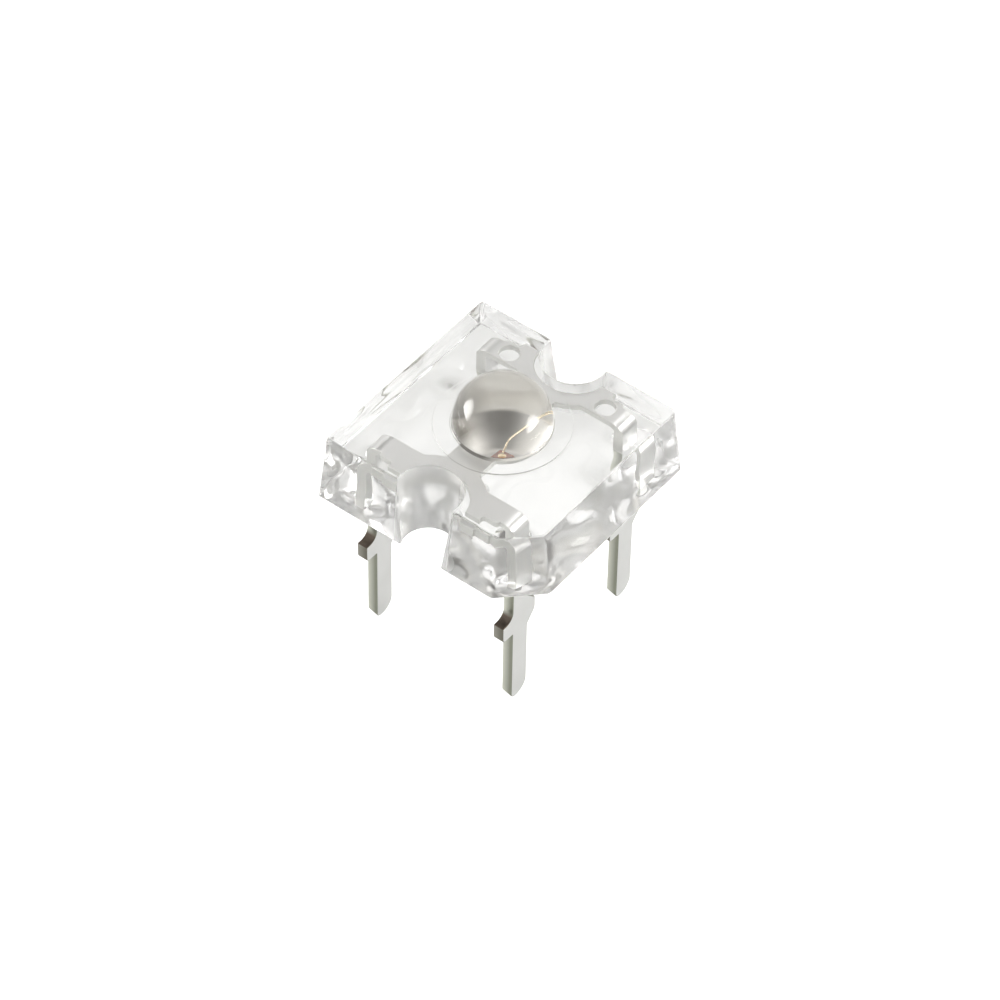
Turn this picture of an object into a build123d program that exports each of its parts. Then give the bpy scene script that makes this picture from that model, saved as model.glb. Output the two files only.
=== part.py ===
"""Clear cast-epoxy square LED with a dome lens, standing on four flat leads.

Sizes are in millimetres and Z points up. The origin lies under the middle of
the body, level with the four lead tips. The body's cut corner marks the polarity
and is at +X -Y. The half-round notches are in the -Y and +Y walls.
"""

import os

from build123d import *

# Cast body, a square block that narrows upwards so that it leaves its mould
body_beyond_leads = 1.27
body_height = 2.44
body_draft = 0.19
mark_cut_base = 1.20
mark_cut_top = 0.90
mark_edge_radius = 0.25
plain_corner_radius = 0.25
sharp_corner_radius = 0.08

# Half-round notch in the middle of two opposite walls
notch_setback = 0.39
notch_radius_base = 0.80
notch_radius_top = 1.02

# Lens, from the top face up: a low step, a flared foot, a straight, a half ball
lens_radius = 1.475
step_radius = 2.05
step_height = 0.04
step_edge_flat = 0.005
foot_flare = 0.08
lens_straight = 0.02

# Sheet metal that both lead frames are stamped from
sheet = 0.35
bend_inner_radius = 0.20
plate_below_top = 0.49

# Leads, on the square grid of a circuit board
lead_pitch = 5.08
lead_width = 0.70
lead_below_body = 5.15
tip_short_radius = 0.20
tip_flat = 0.06
tip_slant = 0.13

# What is left of the tie bar on each lead: a square stop and a low swell
stop_reach = 0.46
stop_top = 1.66
stop_bottom = 2.29
stop_ledge = 0.14
stop_edge_radius = 0.16
swell_reach = 0.35
swell_top = 1.15
swell_flat_top = 1.50
swell_flat_bottom = 1.98
swell_bottom = 2.40

# Plate of a lead frame, which goes round the notch from one lead to the other
plate_edge_margin = 0.61
ring_end_height = 0.20
ring_clearance = 0.17
ring_width = 0.50
plate_inner_fillet = 0.25
plate_outer_fillet = 0.10

# Reflector cup, pressed into the frame that carries the chip
cup_radius = 0.78
cup_floor_radius = 0.38
cup_depth = 0.29
cup_wall = 0.24
flange_width = 0.44
neck_width = 1.20
neck_fillet = 0.15

# Tongue of the bond frame, which the gold wire lands on
frame_gap = 0.20
tongue_width = 1.00
tongue_corner_radius = 0.12

# Holes in the bond frame, which the casting flows through and locks in
lock_hole_diameter = 0.64
lock_hole_to_bend = 0.075
lock_hole_beyond_lead = 0.03

# Chip, the glue under it and the contact on its top
glue_diameter = 0.44
glue_thickness = 0.02
chip_side = 0.26
chip_height = 0.12
pad_diameter = 0.13
pad_thickness = 0.01

# Gold wire: a ball on the chip, a low loop and a stitch on the tongue
wire_diameter = 0.03
ball_diameter = 0.09
ball_height = 0.03
loop_above_plate = 0.065
rise_run = 0.16
rise_bend_radius = 0.12
landing_run = 0.25
landing_bend_radius = 0.30
stitch_length = 0.12
stitch_width = 0.08
stitch_thickness = 0.02
stitch_inset = 0.12

# How far a solid reaches into what it joins, or a cutter past what it cuts
overlap = 0.10

# Most of an edge that the rounding of one of its two corners may take
rounding_share = 0.40

# Levels and places that follow from the sizes above
underside_z = lead_below_body
top_z = underside_z + body_height
plate_top_z = top_z - plate_below_top
plate_bottom_z = plate_top_z - sheet
body_side = lead_pitch + 2 * body_beyond_leads
half_base = body_side / 2
half_top = half_base - body_draft
notch_y = half_base - notch_setback
step_edge_radius = step_height - step_edge_flat
lead_at = lead_pitch / 2
lead_outer_x = lead_at + sheet / 2
bend_x = lead_outer_x - bend_inner_radius - sheet
bend_z = plate_bottom_z - bend_inner_radius
tip_long_radius = lead_width - tip_short_radius - tip_flat
stop_root_radius = stop_reach - stop_ledge
ring_inner_radius = notch_radius_top + ring_clearance
ring_outer_radius = ring_inner_radius + ring_width
plate_inner_y = lead_at - lead_width / 2
plate_outer_y = half_base - plate_edge_margin
plate_shoulder_y = plate_outer_y - ring_end_height
lock_hole_x = bend_x - lock_hole_to_bend - lock_hole_diameter / 2
flange_radius = cup_radius + flange_width
tongue_tip_y = flange_radius + frame_gap
cup_floor_z = plate_top_z - cup_depth
chip_bottom_z = cup_floor_z + glue_thickness
chip_top_z = chip_bottom_z + chip_height
ball_bottom_z = chip_top_z + pad_thickness


def rounded(flat, *places, radius):
    """The flat shape with its corners nearest to these places rounded."""
    for place in places:
        corner = flat.vertices().sort_by_distance(place)[0]
        flat = fillet(corner, radius)
    return flat


def crossing(radius, height):
    """Distance from a circle's axis to where a line at this height meets it."""
    return (radius**2 - height**2) ** 0.5


# Body and lens


def square_outline(side, mark_cut):
    """Square with the mark corner cut off, one plain corner and two sharp ones."""
    half = side / 2
    outline = Rectangle(side, side)
    corner = outline.vertices().sort_by_distance((half, -half))[0]
    cut_ends = ((half - mark_cut, -half), (half, mark_cut - half))
    outline = rounded(chamfer(corner, mark_cut), *cut_ends, radius=mark_edge_radius)
    outline = rounded(outline, (half, half), radius=plain_corner_radius)
    return rounded(outline, (-half, -half), (-half, half), radius=sharp_corner_radius)


def notch(side):
    """Cone that cuts the half-round notch of the -Y or the +Y wall."""
    slope = (notch_radius_top - notch_radius_base) / body_height
    cutter = Cone(
        notch_radius_base - slope * overlap,
        notch_radius_top + slope * overlap,
        body_height + 2 * overlap,
        align=(Align.CENTER, Align.CENTER, Align.MIN),
    )
    return Pos(0, side * notch_y, underside_z - overlap) * cutter


def lens():
    """Dome on its foot and step, let into the body as one casting."""
    inside_z = top_z - overlap
    step_z = top_z + step_height
    spring_z = step_z + foot_flare + lens_straight
    crown_z = spring_z + lens_radius
    edges = Polyline(
        (0, crown_z),
        (0, inside_z),
        (step_radius, inside_z),
        (step_radius, step_z),
        (lens_radius, step_z),
        (lens_radius, spring_z),
    )
    crown = CenterArc((0, spring_z), lens_radius, 0, 90)
    section = Plane.XZ * make_face(edges + crown)
    foot = (lens_radius, 0, step_z)
    section = rounded(section, foot, radius=foot_flare)
    section = rounded(section, (step_radius, 0, step_z), radius=step_edge_radius)
    return revolve(section, Axis.Z)


def casting():
    """The whole casting, still solid where the lead frames and the chip go."""
    base = Pos(0, 0, underside_z) * square_outline(body_side, mark_cut_base)
    top = Pos(0, 0, top_z) * square_outline(2 * half_top, mark_cut_top)
    block = loft([base.face(), top.face()], ruled=True)
    return block - notch(-1) - notch(1) + lens()


# Lead frames


def lead_straight():
    """Lead below its bend, with the stop towards -Y and the swell towards +Y."""
    half = lead_width / 2
    stop_y = -half - stop_reach
    swell_y = half + swell_reach
    outline = make_face(
        Polyline(
            (-half, bend_z),
            (-half, underside_z - stop_top),
            (stop_y, underside_z - stop_top),
            (stop_y, underside_z - stop_bottom),
            (-half, underside_z - stop_bottom),
            (-half, 0),
            (half, 0),
            (half, underside_z - swell_bottom),
            (swell_y, underside_z - swell_flat_bottom),
            (swell_y, underside_z - swell_flat_top),
            (half, underside_z - swell_top),
            (half, bend_z),
            close=True,
        )
    )
    stop_root = (-half, underside_z - stop_top)
    stop_corners = ((stop_y, underside_z - stop_bottom),)
    swell_corners = (
        (swell_y, underside_z - swell_flat_top),
        (swell_y, underside_z - swell_flat_bottom),
        (half, underside_z - swell_bottom),
        (half, underside_z - swell_top),
    )
    outline = rounded(outline, stop_root, radius=stop_root_radius)
    outline = rounded(outline, *stop_corners, radius=stop_edge_radius)
    outline = rounded(outline, *swell_corners, radius=stop_edge_radius)
    outline = rounded(outline, (-half, 0), radius=tip_short_radius)
    outline = rounded(outline, (half, 0), radius=tip_long_radius)
    return extrude(Plane.YZ.offset(lead_outer_x - sheet) * outline, sheet)


def lead(y):
    """One lead of the +X side: the bend at the plate and the straight below it."""
    end = Plane.YZ.offset(bend_x) * Pos(0, plate_top_z - sheet / 2)
    section = end * Rectangle(lead_width, sheet)
    bend = revolve(section, Axis((bend_x, 0, bend_z), (0, 1, 0)), 90)
    return Pos(0, y, 0) * (bend + lead_straight())


def tip_wedge(x):
    """Wedge off a lead's end, which one stroke cut slanting up from this +X face."""
    reach = sheet + overlap
    section = make_face(
        Polyline(
            (0, 0),
            (-reach, reach * tip_slant / sheet),
            (-reach, -overlap),
            (0, -overlap),
            close=True,
        )
    )
    return Pos(x, 0, 0) * extrude(Plane.XZ * section, lead_width, both=True)


def lead_pair(side):
    """The two leads of one frame, mirrored from the +X side to the -X side."""
    right = lead(side * lead_at)
    pair = right + mirror(right, Plane.YZ)
    for x in (lead_outer_x, sheet - lead_outer_x):
        pair -= Pos(0, side * lead_at, 0) * tip_wedge(x)
    return pair


def plate_outline(side, middle):
    """Ring piece round the notch, with its middle piece, on a bar between the bends."""
    centre = Pos(0, side * notch_y)
    reach = notch_y + ring_outer_radius - plate_outer_y
    beyond = Pos(0, side * (plate_outer_y + reach / 2)) * Rectangle(body_side, reach)
    bar_y = (plate_inner_y + plate_shoulder_y) / 2
    bar = Rectangle(2 * bend_x, plate_shoulder_y - plate_inner_y)
    outline = centre * Circle(ring_outer_radius) - beyond + Pos(0, side * bar_y) * bar
    inner_x = crossing(ring_outer_radius, notch_y - plate_inner_y)
    outer_x = crossing(ring_outer_radius, notch_y - plate_shoulder_y)
    outer_radius = min(plate_outer_fillet, rounding_share * (bend_x - outer_x))
    inner = [(x, side * plate_inner_y) for x in (-inner_x, inner_x)]
    outer = [(x, side * plate_shoulder_y) for x in (-outer_x, outer_x)]
    ends = [(x, side * plate_shoulder_y) for x in (-bend_x, bend_x)]
    outline = rounded(outline, *inner, radius=plate_inner_fillet)
    outline = rounded(outline, *outer, *ends, radius=outer_radius)
    return outline + middle - centre * Circle(ring_inner_radius)


def reflector_frame():
    """Frame on the -Y side, with the reflector cup that holds the chip."""
    neck = Pos(0, -notch_y / 2) * Rectangle(neck_width, notch_y)
    outline = plate_outline(-1, neck) + Circle(flange_radius)
    root_y = notch_y - crossing(ring_outer_radius, neck_width / 2)
    root = [(x, -root_y) for x in (-neck_width / 2, neck_width / 2)]
    outline = rounded(outline, *root, radius=neck_fillet)
    plate = extrude(Pos(0, 0, plate_bottom_z) * outline, sheet)
    floor_radius = cup_floor_radius + cup_wall
    rim_radius = cup_radius + cup_wall
    bulge = Plane.XZ * make_face(
        Polyline(
            (0, plate_bottom_z + overlap),
            (rim_radius, plate_bottom_z + overlap),
            (rim_radius, plate_bottom_z),
            (floor_radius, cup_floor_z - cup_wall),
            (0, cup_floor_z - cup_wall),
            close=True,
        )
    )
    hollow = Plane.XZ * make_face(
        Polyline(
            (0, plate_top_z),
            (cup_radius, plate_top_z),
            (cup_floor_radius, cup_floor_z),
            (0, cup_floor_z),
            close=True,
        )
    )
    plate = plate + revolve(bulge, Axis.Z) - revolve(hollow, Axis.Z)
    return plate + lead_pair(-1)


def bond_frame():
    """Frame on the +Y side, with the tongue for the wire and the lock holes."""
    tongue_y = (tongue_tip_y + notch_y) / 2
    tongue = Pos(0, tongue_y) * Rectangle(tongue_width, notch_y - tongue_tip_y)
    tips = [(x, tongue_tip_y) for x in (-tongue_width / 2, tongue_width / 2)]
    tongue = rounded(tongue, *tips, radius=tongue_corner_radius)
    outline = plate_outline(1, tongue)
    hole = Circle(lock_hole_diameter / 2)
    for x in (-lock_hole_x, lock_hole_x):
        outline -= Pos(x, lead_at + lock_hole_beyond_lead) * hole
    plate = extrude(Pos(0, 0, plate_bottom_z) * outline, sheet)
    return plate + lead_pair(1)


# Chip and wire


def disc(diameter, height, bottom_z):
    """Upright round disc on the middle axis."""
    base = (Align.CENTER, Align.CENTER, Align.MIN)
    return Pos(0, 0, bottom_z) * Cylinder(diameter / 2, height, align=base)


def led_chip():
    """Square chip on its glue."""
    base = (Align.CENTER, Align.CENTER, Align.MIN)
    return Pos(0, 0, chip_bottom_z) * Box(chip_side, chip_side, chip_height, align=base)


def bond_wire():
    """Gold wire with its ball on the chip's contact and its stitch on the tongue."""
    ball_top_z = ball_bottom_z + ball_height
    loop_z = plate_top_z + loop_above_plate
    landing_y = tongue_tip_y + stitch_inset
    landing_z = plate_top_z + stitch_thickness / 2
    route = FilletPolyline(
        (0, 0, ball_top_z - ball_height / 2),
        (0, rise_run, loop_z),
        (0, landing_y - landing_run, loop_z),
        (0, landing_y, landing_z),
        radius=(rise_bend_radius, landing_bend_radius),
    )
    wire = sweep(route.location_at(0) * Circle(wire_diameter / 2), path=route)
    stitch = Pos(0, landing_y, plate_top_z) * Box(
        stitch_width,
        stitch_length,
        stitch_thickness,
        align=(Align.CENTER, Align.CENTER, Align.MIN),
    )
    tongue = Pos(0, landing_y, plate_top_z) * Box(
        tongue_width,
        landing_run,
        sheet,
        align=(Align.CENTER, Align.CENTER, Align.MAX),
    )
    return wire - tongue + disc(ball_diameter, ball_height, ball_bottom_z) + stitch


# Pieces, each in its own file

inserts = {
    "reflector_frame": reflector_frame(),
    "bond_frame": bond_frame(),
    "chip_glue": disc(glue_diameter, glue_thickness, cup_floor_z),
    "led_chip": led_chip(),
    "chip_contact": disc(pad_diameter, pad_thickness, chip_top_z),
    "bond_wire": bond_wire(),
}
body = casting()
for piece in inserts.values():
    body -= piece
pieces = {"epoxy_body": body, **inserts}

os.makedirs("parts", exist_ok=True)
for name, piece in pieces.items():
    export_step(piece, f"parts/{name}.step")
    print(name, "solids", len(piece.solids()), "volume", round(piece.volume, 4))
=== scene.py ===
"""Looks of the clear square LED: smooth skins over the CAD solids, their
materials, the studio and the camera.

Sizes are in millimetres in the CAD part's own frame and become metres when a
mesh is made. Z points up, and the tips of the four leads stand on z = 0.
"""

import math

import bpy
from mathutils import Matrix, Vector
from mathutils.geometry import delaunay_2d_cdt


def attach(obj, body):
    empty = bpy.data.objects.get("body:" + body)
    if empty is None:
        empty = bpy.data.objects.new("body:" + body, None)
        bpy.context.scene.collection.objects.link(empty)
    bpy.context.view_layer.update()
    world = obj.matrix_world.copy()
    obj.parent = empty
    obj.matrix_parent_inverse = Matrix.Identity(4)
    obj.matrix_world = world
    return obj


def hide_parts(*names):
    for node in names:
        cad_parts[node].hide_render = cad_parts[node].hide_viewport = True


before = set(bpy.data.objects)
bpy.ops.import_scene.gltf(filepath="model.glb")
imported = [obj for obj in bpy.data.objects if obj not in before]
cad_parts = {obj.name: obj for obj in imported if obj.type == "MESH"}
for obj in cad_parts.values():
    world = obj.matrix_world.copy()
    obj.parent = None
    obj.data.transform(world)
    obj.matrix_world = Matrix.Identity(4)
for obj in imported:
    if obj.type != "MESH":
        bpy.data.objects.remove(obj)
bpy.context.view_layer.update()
MM = 0.001

# Cast body, as in the CAD part; a pair is the size at the underside and at the top
BODY_HALF = 3.81
BODY_HEIGHT = 2.44
BODY_DRAFT = 0.19
UNDERSIDE_Z = 5.15
TOP_Z = UNDERSIDE_Z + BODY_HEIGHT
MARK_CUT = (1.20, 0.90)
MARK_EDGE = 0.25
PLAIN_RADIUS = 0.25
SHARP_RADIUS = 0.08
NOTCH_Y = 3.42
NOTCH_RADIUS = (0.80, 1.02)
NOTCH_LIP = 0.07
TOP_EDGE = 0.055
BOTTOM_EDGE = 0.055

# Lens on the body
LENS_RADIUS = 1.475
STEP_RADIUS = 2.05
STEP_HEIGHT = 0.04
STEP_EDGE = 0.03
FOOT_FLARE = 0.08
LENS_STRAIGHT = 0.02

# Lead frames
SHEET = 0.35
PLATE_DEPTH = 0.49
PLATE_TOP_Z = TOP_Z - PLATE_DEPTH
PLATE_BOTTOM_Z = PLATE_TOP_Z - SHEET
HALF_PITCH = 2.54
LEAD_WIDTH = 0.70
BEND_INNER = 0.20
BEND_MID = BEND_INNER + SHEET / 2
BEND_X = HALF_PITCH - BEND_MID
BEND_Z = PLATE_BOTTOM_Z - BEND_INNER
BEND_LENGTH = BEND_MID * math.pi / 2
STAMPED_EDGE = 0.025
RING_INNER = 1.19
RING_OUTER = 1.69
PLATE_INNER = HALF_PITCH - LEAD_WIDTH / 2
PLATE_SHOULDER = 3.00
PLATE_OUTER = 3.20
SHOULDER_ROUND = 0.10
INNER_ROUND = 0.25
FLANGE_RADIUS = 1.22
NECK_HALF = 0.60
NECK_ROUND = 0.15
TONGUE_HALF = 0.50
TONGUE_TIP = 1.42
TONGUE_ROUND = 0.12
LOCK_HOLE_MIDDLE = (1.77, 2.57)
LOCK_HOLE_RADIUS = 0.32
CUP_RADIUS = 0.78
CUP_FLOOR_RADIUS = 0.38
CUP_WALL = 0.24
CUP_DEPTH = 0.29
CUP_FLOOR_Z = PLATE_TOP_Z - CUP_DEPTH
CUP_ROUND = 0.08
CUP_UNDER_ROUND = 0.03
CUP_UNDER_MIDDLE = 0.10

# Both edges of a lead, as (reach, depth below the body, rounding)
STOP_EDGE = ((0, 1.66, 0.32), (0.46, 1.66, 0.03), (0.46, 2.29, 0.16), (0, 2.29, 0.02))
SWELL_EDGE = ((0, 1.15, 0.14), (0.35, 1.50, 0.14), (0.35, 1.98, 0.14), (0, 2.40, 0.14))
TIP_ROUND = (0.20, 0.44)
TIP_SLANT = 0.13
TIP_REACH = 0.50

# Chip and wire; the stitch is (width, length, height)
GLUE_HEIGHT = 0.02
CHIP_HEIGHT = 0.12
CONTACT_HEIGHT = 0.01
BALL_Z = CUP_FLOOR_Z + GLUE_HEIGHT + CHIP_HEIGHT + CONTACT_HEIGHT
BALL_RADIUS = 0.045
BALL_HEIGHT = 0.03
WIRE_RADIUS = 0.015
WIRE_RISE = 0.16
WIRE_RISE_ROUND = 0.12
WIRE_DROP = 0.25
WIRE_DROP_ROUND = 0.30
LOOP_Z = PLATE_TOP_Z + 0.065
LANDING_Y = 1.54
STITCH = (0.08, 0.12, 0.02)

# Slopes of the waves in the casting's walls, notches and underside
WALL_WAVES = 0.42
NOTCH_WAVES = 0.08
UNDERSIDE_WAVES = 0.65
WAVE_SIZE = (1.5, 1.5, 0.9)
CALM_BELOW_TOP = 0.4
CALM_ABOVE_UNDERSIDE = 0.1
CLIMB_REACH = (0.45, 1.00)
CLIMB_SLOPE = 0.35

# Shares of the casting's surface that scatter light, and the notches' frost
TOP_HAZE = 0.09
WALL_HAZE = 0.12
NOTCH_HAZE = 0.30
LENS_HAZE = 0.05
NOTCH_FROST = 0.25
NOTCH_MARGIN = 0.01

# Painted shade: the crescent beside the cup's rim and on the flange, the darker torn half of the
# cut edges (partly a real dull fracture zone), and the ledges that face up and the stops
CRESCENT_SIDE = (-0.70, -0.71, 0)
CRESCENT_WIDTH = (0.30, 0.12)
CRESCENT_ENDS = (0.0, 0.6)
FLANGE_MARGIN = 0.1
TORN_AND_SHADED_PART = (-0.4, 0.3)
LEDGE_FACING = (0.1, 0.6)
STOP_SHADE = (0.1, 0.4, 0.6)

# Sizes of the fine patterns
ROLLING_LINES = (1 / 33, 2 / 3, 1 / 33)
LINE_DEPTH = 0.002
TARNISH_PATCH = 10 / 9
TEARING_MARK = 0.025
DRAWING_LINE = 0.005
GLUE_FLAKE = 0.01
SAW_STREAK = 0.04
TABLE_GRAIN = 0.5

# Fineness of the meshes: points of a curve, rows of a rounding, degrees of a step
CORNER_POINTS = 24
LIP_POINTS = 10
NOTCH_POINTS = 72
BOTTOM_ROWS = 4
WALL_ROWS = 16
WALL_SPAN = (0.04, 0.96)
TOP_ROWS = 6
LENS_POINTS = 144
LENS_STEP = 2
FOOT_STEP = 10
FINE_STEP = 8
HOLE_STEP = 5
FLANGE_STEP = 3
BEND_ROWS = 16
EDGE_ROWS = 3
CUP_POINTS = 120
CUP_ROWS = 6
BALL_ROWS = 12
BALL_POLE = 89
WIRE_POINTS = 16
SMOOTH_TURN = 25
MITRE_LIMIT = 0.5
NEAR = 1e-6
SAME_POINT = 1e-7

# Studio; a strength of 1 is white, and a spread is (edge, core) in degrees
FLOOR_SIDE = 2000
FLOOR_GLOW = 0.80
THROUGH_GLOW = 0.14
GATHERED_GLOW = 0.40
GATHERED_REACH = (3, 8)
MIRRORED_GLOW = 0.36
ROOM_WALLS = 1.20
ROOM_CEILING = 0.98
CEILING_FROM = 0.7
STAND_SHADE = 0.10
STAND_SPREAD = (45, 12)
LEFT_LAMP = (-0.904, -0.398, 0.149)
LEFT_LIGHT = 12.5
LEFT_SPREAD = (21, 6)
RIGHT_LAMP = (0.932, 0.342, 0.12)
RIGHT_LIGHT = 11.0
RIGHT_SPREAD = (22, 6)
RIGHT_GLOW = (0.75, 0.54, 0.38)
GLOW_LIGHT = 1.2
GLOW_SPREAD = (42, 10)

# Camera: the photograph's viewpoint

CAMERA_AZIMUTH = math.radians(37.39)
CAMERA_ELEVATION = math.radians(46.52)
CAMERA_ROLL = math.radians(1.08)
CAMERA_DISTANCE = 137.55
CAMERA_TARGET = Vector((0, 0, 6.15))

back = Vector(
    (
        math.sin(CAMERA_AZIMUTH) * math.cos(CAMERA_ELEVATION),
        -math.cos(CAMERA_AZIMUTH) * math.cos(CAMERA_ELEVATION),
        math.sin(CAMERA_ELEVATION),
    )
)
level_right = Vector((math.cos(CAMERA_AZIMUTH), math.sin(CAMERA_AZIMUTH), 0))
level_up = back.cross(level_right)
right = math.cos(CAMERA_ROLL) * level_right + math.sin(CAMERA_ROLL) * level_up
up = back.cross(right)
camera = bpy.data.objects.new("camera", bpy.data.cameras.new("camera"))
camera.data.lens = 170.43
camera.data.sensor_width = 36
camera.data.shift_x = -0.0020
camera.data.shift_y = -0.0419
camera.data.clip_start = 0.01
camera.data.clip_end = 10
turn = Matrix((right, up, back)).transposed().to_4x4()
camera.matrix_world = Matrix.Translation((CAMERA_TARGET + back * CAMERA_DISTANCE) * MM) @ turn
bpy.context.collection.objects.link(camera)
bpy.context.scene.camera = camera
bpy.context.scene.view_settings.view_transform = "Standard"


# Materials


def colour(hex_value):
    """Linear colour, with alpha, of an sRGB hex value such as "D5D5D2"."""
    shares = [int(hex_value[i : i + 2], 16) / 255 for i in (0, 2, 4)]
    linear = [s / 12.92 if s <= 0.04045 else ((s + 0.055) / 1.055) ** 2.4 for s in shares]
    return (*linear, 1)


def connect(node, links):
    """Gives each socket of a node a value, an output, or a node's first output in use."""
    for socket, value in dict(links).items():
        if isinstance(value, bpy.types.Node):
            value = next(output for output in value.outputs if output.enabled)
        if isinstance(value, bpy.types.NodeSocket):
            node.id_data.links.new(value, node.inputs[socket])
        else:
            node.inputs[socket].default_value = value


def add(tree, kind, links=(), **settings):
    """A shader node of this kind with its settings and its links."""
    node = tree.nodes.new("ShaderNode" + kind)
    for key, value in settings.items():
        setattr(node, key, value)
    connect(node, links)
    return node


def material(name, **shader):
    """A material with its main shader and these constant shader sockets."""
    made = bpy.data.materials.new(name)
    made.use_nodes = True
    surface = made.node_tree.nodes["Principled BSDF"]
    for socket, value in shader.items():
        surface.inputs[socket.replace("_", " ")].default_value = value
    return made, made.node_tree, surface


def on_notch_walls(tree, spot):
    """1 on the walls of both notches and 0 elsewhere."""
    side = add(tree, "Math", {0: spot.outputs["Y"]}, operation="ABSOLUTE")
    offset = add(tree, "Math", {0: side, 1: NOTCH_Y * MM}, operation="SUBTRACT")
    spoke = add(tree, "CombineXYZ", {0: spot.outputs["X"], 1: offset})
    reach = add(tree, "VectorMath", {0: spoke}, operation="LENGTH")
    return add(
        tree, "Math", {0: reach, 1: (NOTCH_RADIUS[1] + NOTCH_MARGIN) * MM}, operation="LESS_THAN"
    )


def climb_at_leads(tree, place, below):
    """Lean of the underside where the resin climbs a little at each lead as it sets."""
    signs = add(tree, "VectorMath", {0: place}, operation="SIGN")
    folded = add(tree, "VectorMath", {0: place}, operation="ABSOLUTE")
    from_lead = add(
        tree,
        "VectorMath",
        {0: folded, 1: (HALF_PITCH * MM, HALF_PITCH * MM, 0)},
        operation="SUBTRACT",
    )
    unfolded = add(tree, "VectorMath", {0: from_lead, 1: signs}, operation="MULTIPLY")
    level_way = add(tree, "VectorMath", {0: unfolded, 1: (1, 1, 0)}, operation="MULTIPLY")
    outward = add(tree, "VectorMath", {0: level_way}, operation="NORMALIZE")
    distance = add(tree, "VectorMath", {0: level_way}, operation="LENGTH")
    climb = add(
        tree,
        "MapRange",
        {
            "Value": distance,
            "From Min": CLIMB_REACH[1] * MM,
            "From Max": CLIMB_REACH[0] * MM,
            "To Max": CLIMB_SLOPE / UNDERSIDE_WAVES,
        },
        interpolation_type="SMOOTHSTEP",
    )
    climb_below = add(tree, "Math", {0: climb, 1: below}, operation="MULTIPLY")
    return add(tree, "VectorMath", {0: outward, "Scale": climb_below}, operation="SCALE")


def resin_slopes(tree, place, spot, notch):
    """Normal of the casting with the waves of its walls and of its underside."""
    face = add(tree, "NewGeometry")
    # The mould leaves the walls faintly wavy, and the open underside sets in
    # deeper waves: 1.5 mm long and 0.9 mm high. The top and the lens are calm.
    stretch = add(
        tree, "Mapping", {"Vector": place, "Scale": [1 / (size * MM) for size in WAVE_SIZE]}
    )
    waves = add(tree, "TexNoise", {"Vector": stretch, "Scale": 1, "Detail": 0})
    lean = add(
        tree, "VectorMath", {0: waves.outputs["Color"], 1: (0.5, 0.5, 0.5)}, operation="SUBTRACT"
    )
    wall_waves = add(
        tree, "MapRange", {"Value": notch, "To Min": WALL_WAVES, "To Max": NOTCH_WAVES}
    )
    wall = add(
        tree,
        "MapRange",
        {
            "Value": spot.outputs["Z"],
            "From Min": (TOP_Z - CALM_BELOW_TOP) * MM,
            "From Max": (TOP_Z - TOP_EDGE) * MM,
            "To Min": wall_waves,
            "To Max": 0,
        },
    )
    below = add(
        tree,
        "MapRange",
        {
            "Value": spot.outputs["Z"],
            "From Min": (UNDERSIDE_Z + BOTTOM_EDGE) * MM,
            "From Max": (UNDERSIDE_Z + BOTTOM_EDGE + CALM_ABOVE_UNDERSIDE) * MM,
            "To Min": UNDERSIDE_WAVES,
            "To Max": 0,
        },
    )
    strength = add(tree, "Math", {0: wall, 1: below}, operation="MAXIMUM")
    scaled = add(tree, "VectorMath", {0: lean, "Scale": strength}, operation="SCALE")
    waved = add(tree, "VectorMath", {0: face.outputs["Normal"], 1: scaled}, operation="ADD")
    climbed = climb_at_leads(tree, place, below)
    leant = add(tree, "VectorMath", {0: waved, 1: climbed}, operation="ADD")
    return add(tree, "VectorMath", {0: leant}, operation="NORMALIZE")


def clear_epoxy():
    """Water-clear casting epoxy: a polished lens, wavy walls and frosted notches."""
    made, tree, surface = material("clear cast epoxy", IOR=1.53)
    place = add(tree, "TexCoord").outputs["Object"]
    spot = add(tree, "SeparateXYZ", {0: place})
    notch = on_notch_walls(tree, spot)
    slopes = resin_slopes(tree, place, spot, notch)
    # Mould marks make the top and the walls a little hazy; the lens is polished.
    top = add(
        tree,
        "MapRange",
        {
            "Value": spot.outputs["Z"],
            "From Min": (TOP_Z - TOP_EDGE * 2) * MM,
            "From Max": (TOP_Z - TOP_EDGE / 5) * MM,
            "To Min": 1 - WALL_HAZE,
            "To Max": 1 - TOP_HAZE,
        },
    )
    lens = add(
        tree,
        "MapRange",
        {
            "Value": spot.outputs["Z"],
            "From Min": (TOP_Z + STEP_HEIGHT) * MM,
            "From Max": (TOP_Z + STEP_HEIGHT + FOOT_FLARE * 2) * MM,
            "To Min": 1 - TOP_HAZE,
            "To Max": 1 - LENS_HAZE,
        },
    )
    moulded = add(tree, "Math", {0: top, 1: lens}, operation="MAXIMUM")
    # The pins that make the notches leave them frosted.
    clear = add(tree, "Mix", {"Factor": notch, "A": moulded, "B": 1 - NOTCH_HAZE})
    frost = add(tree, "MapRange", {"Value": notch, "To Min": 0, "To Max": NOTCH_FROST})
    # Light runs further through the lens, which gives it a faint warm tone.
    warm = add(
        tree,
        "MapRange",
        {
            "Value": spot.outputs["Z"],
            "From Min": (TOP_Z + STEP_HEIGHT) * MM,
            "From Max": (TOP_Z + STEP_HEIGHT + FOOT_FLARE * 2) * MM,
        },
    )
    tint = add(
        tree,
        "Mix",
        {"Factor": warm, "A": colour("FFFFFF"), "B": colour("FFFCF7")},
        data_type="RGBA",
    )
    connect(
        surface,
        {"Base Color": tint, "Roughness": frost, "Normal": slopes, "Transmission Weight": clear},
    )
    return made


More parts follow.
